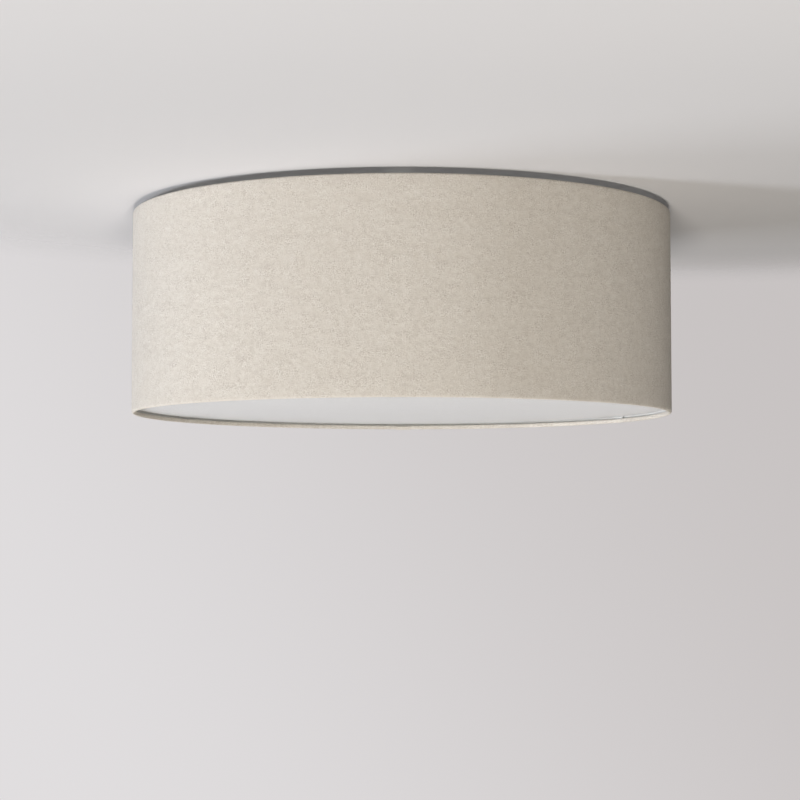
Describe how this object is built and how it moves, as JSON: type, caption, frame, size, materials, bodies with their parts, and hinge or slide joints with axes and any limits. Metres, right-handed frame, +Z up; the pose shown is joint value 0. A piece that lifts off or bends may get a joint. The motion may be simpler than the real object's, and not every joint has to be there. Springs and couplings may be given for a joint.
{
  "type": "flush mount ceiling light",
  "caption": "Flush mount ceiling light: a fabric drum shade hung close under a round ceiling pan, closed by a flat opal diffuser, with screw lamps inside.",
  "frame": {"origin": "on the ceiling plane, at the middle of the crossbar's cable hole", "axes": "+Z up into the ceiling, so the light hangs in -Z; +X along the crossbar; the pictured side faces -Y"},
  "size_m": [0.5, 0.5004, 0.192],
  "materials": {
    "linen": "fine heathered weave, beige",
    "liner_white": "satin white laminate",
    "white_paint": "satin white powder coat",
    "opal_sheet": "satin opal acrylic",
    "zinc_steel": "bright zinc plate",
    "nickel": "nickel plate",
    "grommet_rubber": "matt black rubber",
    "block_plastic": "moulded nylon",
    "holder_plastic": "moulded heat-resistant plastic",
    "contact_brass": "plain brass",
    "cap_nickel": "nickelled cap",
    "lamp_white": "satin moulded plastic",
    "lamp_opal": "frosted opal polycarbonate",
    "sleeve_white": "silicone sleeve",
    "live_brown": "insulated lead",
    "neutral_blue": "insulated lead",
    "earth_green": "insulated lead"
  },
  "bodies": {
    "base": {"crossbar": "zinc_steel", "crossbar_studs": "zinc_steel", "stud_lock_nuts": "zinc_steel", "pan_dome_nuts": "nickel", "ceiling_pan": "white_paint", "shade_studs": "zinc_steel", "wire_grommet": "grommet_rubber", "terminal_block": "block_plastic", "block_screw": "zinc_steel", "earth_post": "zinc_steel", "earth_nut": "zinc_steel", "earth_tag": "contact_brass", "earth_lead": "earth_green", "live_leads": "live_brown", "neutral_leads": "neutral_blue", "lead_sleeves": "sleeve_white", "holder_brackets": "white_paint", "bracket_screws": "zinc_steel", "holder_nipples": "zinc_steel", "nipple_nuts": "zinc_steel", "holder_domes": "holder_plastic", "centre_contacts": "contact_brass", "holder_cup_1": "holder_plastic", "holder_cup_2": "holder_plastic", "holder_cup_3": "holder_plastic", "screw_shell_1": "contact_brass", "screw_shell_2": "contact_brass", "screw_shell_3": "contact_brass"},
    "shade": {"shade_fabric": "linen", "shade_liner": "liner_white", "top_ring": "white_paint", "shade_arms": "white_paint", "bottom_ring": "white_paint", "holding_magnets": "nickel"},
    "diffuser": {"diffuser_disc": "opal_sheet", "strike_plates": "zinc_steel"},
    "lamp_1": {"lamp_cap_1": "cap_nickel", "lamp_housing_1": "lamp_white", "lamp_tube_1": "lamp_opal"},
    "lamp_2": {"lamp_cap_2": "cap_nickel", "lamp_housing_2": "lamp_white", "lamp_tube_2": "lamp_opal"},
    "lamp_3": {"lamp_cap_3": "cap_nickel", "lamp_housing_3": "lamp_white", "lamp_tube_3": "lamp_opal"},
    "thumb_nut_1": {"thumb_nut_1": "nickel"},
    "thumb_nut_2": {"thumb_nut_2": "nickel"},
    "thumb_nut_3": {"thumb_nut_3": "nickel"}
  },
  "joints": [
    {"name": "shade_drop", "type": "slide", "parent": "base", "child": "shade", "axis": [0, 0, -1], "range_m": [0, 0.2]},
    {"name": "diffuser_drop", "type": "slide", "parent": "shade", "child": "diffuser", "axis": [0, 0, -1], "range_m": [0, 0.06]},
    {"name": "lamp_1_out", "type": "slide", "parent": "base", "child": "lamp_1", "axis": [0, 1, 0], "range_m": [0, 0.05]},
    {"name": "lamp_2_out", "type": "slide", "parent": "base", "child": "lamp_2", "axis": [-0.866, -0.5, 0], "range_m": [0, 0.05]},
    {"name": "lamp_3_out", "type": "slide", "parent": "base", "child": "lamp_3", "axis": [0.866, -0.5, 0], "range_m": [0, 0.05]},
    {"name": "thumb_nut_1_turn", "type": "hinge", "parent": "shade", "child": "thumb_nut_1", "pos_m": [0, -0.125, -0.031], "axis": [0, 0, 1], "continuous": true},
    {"name": "thumb_nut_2_turn", "type": "hinge", "parent": "shade", "child": "thumb_nut_2", "pos_m": [0.10825, 0.0625, -0.031], "axis": [0, 0, 1], "continuous": true},
    {"name": "thumb_nut_3_turn", "type": "hinge", "parent": "shade", "child": "thumb_nut_3", "pos_m": [-0.10825, 0.0625, -0.031], "axis": [0, 0, 1], "continuous": true}
  ]
}
